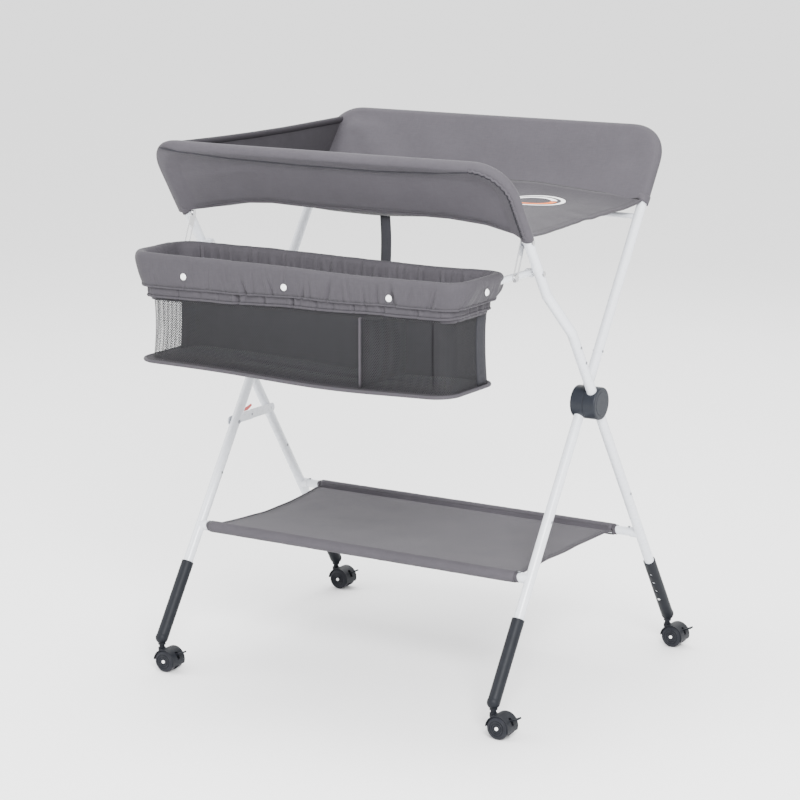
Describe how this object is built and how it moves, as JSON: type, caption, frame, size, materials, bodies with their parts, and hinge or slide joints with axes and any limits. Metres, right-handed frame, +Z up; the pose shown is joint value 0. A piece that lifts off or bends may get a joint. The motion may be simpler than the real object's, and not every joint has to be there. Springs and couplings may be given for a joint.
{
  "type": "changing table",
  "caption": "Folding changing table: crossed tube frames on hubs, a fabric tray, a hanging basket, a shelf and swivel casters with brakes.",
  "frame": {"origin": "on the floor, in the middle of the whole outline seen from above", "axes": "+X along the length, towards the open end of the tray; +Y towards the rear, away from the basket; +Z up"},
  "size_m": [0.8136, 0.7384, 0.9835],
  "materials": {
    "white_tube": "gloss white powder coat",
    "hub_plastic": "fine satin texture",
    "dark_plastic": "satin",
    "wheel_plastic": "satin",
    "bright_steel": "zinc plated",
    "dark_steel": "plated",
    "red_plastic": "satin red",
    "snap_plastic": "gloss white",
    "grey_fabric": "woven polyester, heather grey"
  },
  "bodies": {
    "rear_frame": {"rear_top_rail": "white_tube", "inner_side_tube_left": "white_tube", "inner_side_tube_right": "white_tube", "front_leg_left": "white_tube", "front_leg_right": "white_tube", "inner_hub_left": "hub_plastic", "inner_hub_right": "hub_plastic", "hub_pins": "bright_steel", "clothes_bar": "white_tube", "shelf_front_rail": "white_tube", "rear_frame_screws": "dark_steel", "lock_pivot": "dark_steel", "rear_wall": "grey_fabric", "bed_floor": "grey_fabric", "end_wall": "grey_fabric", "shelf_sheet": "grey_fabric"},
    "front_frame": {"front_top_rail": "white_tube", "outer_side_tube_left": "white_tube", "outer_side_tube_right": "white_tube", "rear_leg_left": "white_tube", "rear_leg_right": "white_tube", "outer_hub_left": "hub_plastic", "outer_hub_right": "hub_plastic", "hub_caps": "hub_plastic", "shelf_rear_rail": "white_tube", "front_frame_screws": "dark_steel", "front_wall": "grey_fabric", "basket_pivots": "bright_steel"},
    "lock_front": {"lock_link_front": "white_tube", "lock_mid_rivet": "dark_steel"},
    "lock_rear": {"lock_link_rear": "white_tube"},
    "lock_release": {"lock_release": "red_plastic"},
    "basket": {"basket_frame": "white_tube", "basket_knobs": "bright_steel", "basket_shell": "grey_fabric", "basket_divider": "grey_fabric", "basket_snaps": "snap_plastic", "basket_strap": "grey_fabric"},
    "basket_ties": {"basket_ties": "bright_steel"},
    "sleeve_front_left": {"leg_sleeve_front_left": "dark_plastic"},
    "button_front_left": {"height_button_front_left": "bright_steel"},
    "swivel_front_left": {"caster_hood_front_left": "dark_plastic"},
    "wheels_front_left": {"caster_wheels_front_left": "wheel_plastic"},
    "brake_front_left": {"caster_brake_front_left": "dark_plastic"},
    "sleeve_front_right": {"leg_sleeve_front_right": "dark_plastic"},
    "button_front_right": {"height_button_front_right": "bright_steel"},
    "swivel_front_right": {"caster_hood_front_right": "dark_plastic"},
    "wheels_front_right": {"caster_wheels_front_right": "wheel_plastic"},
    "brake_front_right": {"caster_brake_front_right": "dark_plastic"},
    "sleeve_rear_left": {"leg_sleeve_rear_left": "dark_plastic"},
    "button_rear_left": {"height_button_rear_left": "bright_steel"},
    "swivel_rear_left": {"caster_hood_rear_left": "dark_plastic"},
    "wheels_rear_left": {"caster_wheels_rear_left": "wheel_plastic"},
    "brake_rear_left": {"caster_brake_rear_left": "dark_plastic"},
    "sleeve_rear_right": {"leg_sleeve_rear_right": "dark_plastic"},
    "button_rear_right": {"height_button_rear_right": "bright_steel"},
    "swivel_rear_right": {"caster_hood_rear_right": "dark_plastic"},
    "wheels_rear_right": {"caster_wheels_rear_right": "wheel_plastic"},
    "brake_rear_right": {"caster_brake_rear_right": "dark_plastic"}
  },
  "joints": [
    {"name": "fold", "type": "hinge", "parent": "rear_frame", "child": "front_frame", "pos_m": [-0.01936, 0.03885, 0.5242], "axis": [-1, 0, 0], "range_deg": [0, 56], "deforming": ["bed_floor", "end_wall", "shelf_sheet"]},
    {"name": "lock_front_pivot", "type": "hinge", "parent": "rear_frame", "child": "lock_front", "pos_m": [-0.38036, -0.03091, 0.42], "axis": [1, 0, 0], "range_deg": [0, 52]},
    {"name": "lock_middle_pivot", "type": "hinge", "parent": "lock_front", "child": "lock_rear", "pos_m": [-0.38236, 0.03885, 0.42], "axis": [1, 0, 0], "range_deg": [-160, 0]},
    {"name": "lock_release_pivot", "type": "hinge", "parent": "lock_front", "child": "lock_release", "pos_m": [-0.38236, 0.00697, 0.425], "axis": [1, 0, 0], "range_deg": [0, 20], "stiffness_Nm_per_rad": 0.02},
    {"name": "basket_swing", "type": "hinge", "parent": "front_frame", "child": "basket", "pos_m": [-0.01936, -0.12905, 0.775], "axis": [-1, 0, 0], "range_deg": [0, 30], "deforming": ["basket_strap"]},
    {"name": "tie_swing", "type": "hinge", "parent": "front_frame", "child": "basket_ties", "pos_m": [-0.01936, -0.16787, 0.833], "axis": [-1, 0, 0], "range_deg": [0, 7]},
    {"name": "height_front_left", "type": "slide", "parent": "rear_frame", "child": "sleeve_front_left", "axis": [0, -0.5563, -0.831], "range_m": [0, 0.0675], "deforming": ["height_button_front_left"]},
    {"name": "button_press_front_left", "type": "slide", "parent": "rear_frame", "child": "button_front_left", "axis": [0, -0.831, 0.5563], "range_m": [0, 0.003], "stiffness_N_per_m": 400},
    {"name": "swivel_turn_front_left", "type": "hinge", "parent": "sleeve_front_left", "child": "swivel_front_left", "pos_m": [-0.36936, -0.27315, 0.05], "axis": [0, 0, 1], "continuous": true},
    {"name": "wheel_roll_front_left", "type": "hinge", "parent": "swivel_front_left", "child": "wheels_front_left", "pos_m": [-0.35336, -0.27315, 0.02], "axis": [0, 1, 0], "continuous": true},
    {"name": "brake_press_front_left", "type": "hinge", "parent": "swivel_front_left", "child": "brake_front_left", "pos_m": [-0.34266, -0.27315, 0.029], "axis": [0, 1, 0], "range_deg": [0, 16]},
    {"name": "height_front_right", "type": "slide", "parent": "rear_frame", "child": "sleeve_front_right", "axis": [0, -0.5563, -0.831], "range_m": [0, 0.0675], "deforming": ["height_button_front_right"]},
    {"name": "button_press_front_right", "type": "slide", "parent": "rear_frame", "child": "button_front_right", "axis": [0, -0.831, 0.5563], "range_m": [0, 0.003], "stiffness_N_per_m": 400},
    {"name": "swivel_turn_front_right", "type": "hinge", "parent": "sleeve_front_right", "child": "swivel_front_right", "pos_m": [0.33064, -0.27315, 0.05], "axis": [0, 0, 1], "continuous": true},
    {"name": "wheel_roll_front_right", "type": "hinge", "parent": "swivel_front_right", "child": "wheels_front_right", "pos_m": [0.34664, -0.27315, 0.02], "axis": [0, 1, 0], "continuous": true},
    {"name": "brake_press_front_right", "type": "hinge", "parent": "swivel_front_right", "child": "brake_front_right", "pos_m": [0.35734, -0.27315, 0.029], "axis": [0, 1, 0], "range_deg": [0, 16]},
    {"name": "height_rear_left", "type": "slide", "parent": "front_frame", "child": "sleeve_rear_left", "axis": [0, 0.5563, -0.831], "range_m": [0, 0.0675], "deforming": ["height_button_rear_left"]},
    {"name": "button_press_rear_left", "type": "slide", "parent": "front_frame", "child": "button_rear_left", "axis": [0, 0.831, 0.5563], "range_m": [0, 0.003], "stiffness_N_per_m": 400},
    {"name": "swivel_turn_rear_left", "type": "hinge", "parent": "sleeve_rear_left", "child": "swivel_rear_left", "pos_m": [-0.39396, 0.35085, 0.05], "axis": [0, 0, 1], "continuous": true},
    {"name": "wheel_roll_rear_left", "type": "hinge", "parent": "swivel_rear_left", "child": "wheels_rear_left", "pos_m": [-0.37796, 0.35085, 0.02], "axis": [0, 1, 0], "continuous": true},
    {"name": "brake_press_rear_left", "type": "hinge", "parent": "swivel_rear_left", "child": "brake_rear_left", "pos_m": [-0.36726, 0.35085, 0.029], "axis": [0, 1, 0], "range_deg": [0, 16]},
    {"name": "height_rear_right", "type": "slide", "parent": "front_frame", "child": "sleeve_rear_right", "axis": [0, 0.5563, -0.831], "range_m": [0, 0.0675], "deforming": ["height_button_rear_right"]},
    {"name": "button_press_rear_right", "type": "slide", "parent": "front_frame", "child": "button_rear_right", "axis": [0, 0.831, 0.5563], "range_m": [0, 0.003], "stiffness_N_per_m": 400},
    {"name": "swivel_turn_rear_right", "type": "hinge", "parent": "sleeve_rear_right", "child": "swivel_rear_right", "pos_m": [0.35524, 0.35085, 0.05], "axis": [0, 0, 1], "continuous": true},
    {"name": "wheel_roll_rear_right", "type": "hinge", "parent": "swivel_rear_right", "child": "wheels_rear_right", "pos_m": [0.37124, 0.35085, 0.02], "axis": [0, 1, 0], "continuous": true},
    {"name": "brake_press_rear_right", "type": "hinge", "parent": "swivel_rear_right", "child": "brake_rear_right", "pos_m": [0.38194, 0.35085, 0.029], "axis": [0, 1, 0], "range_deg": [0, 16]}
  ],
  "couplings": [
    {"joint": "lock_front_pivot", "follows": "fold", "ratio": 0.918},
    {"joint": "lock_middle_pivot", "follows": "fold", "ratio": -2.836},
    {"joint": "tie_swing", "follows": "basket_swing", "ratio": 0.205}
  ]
}
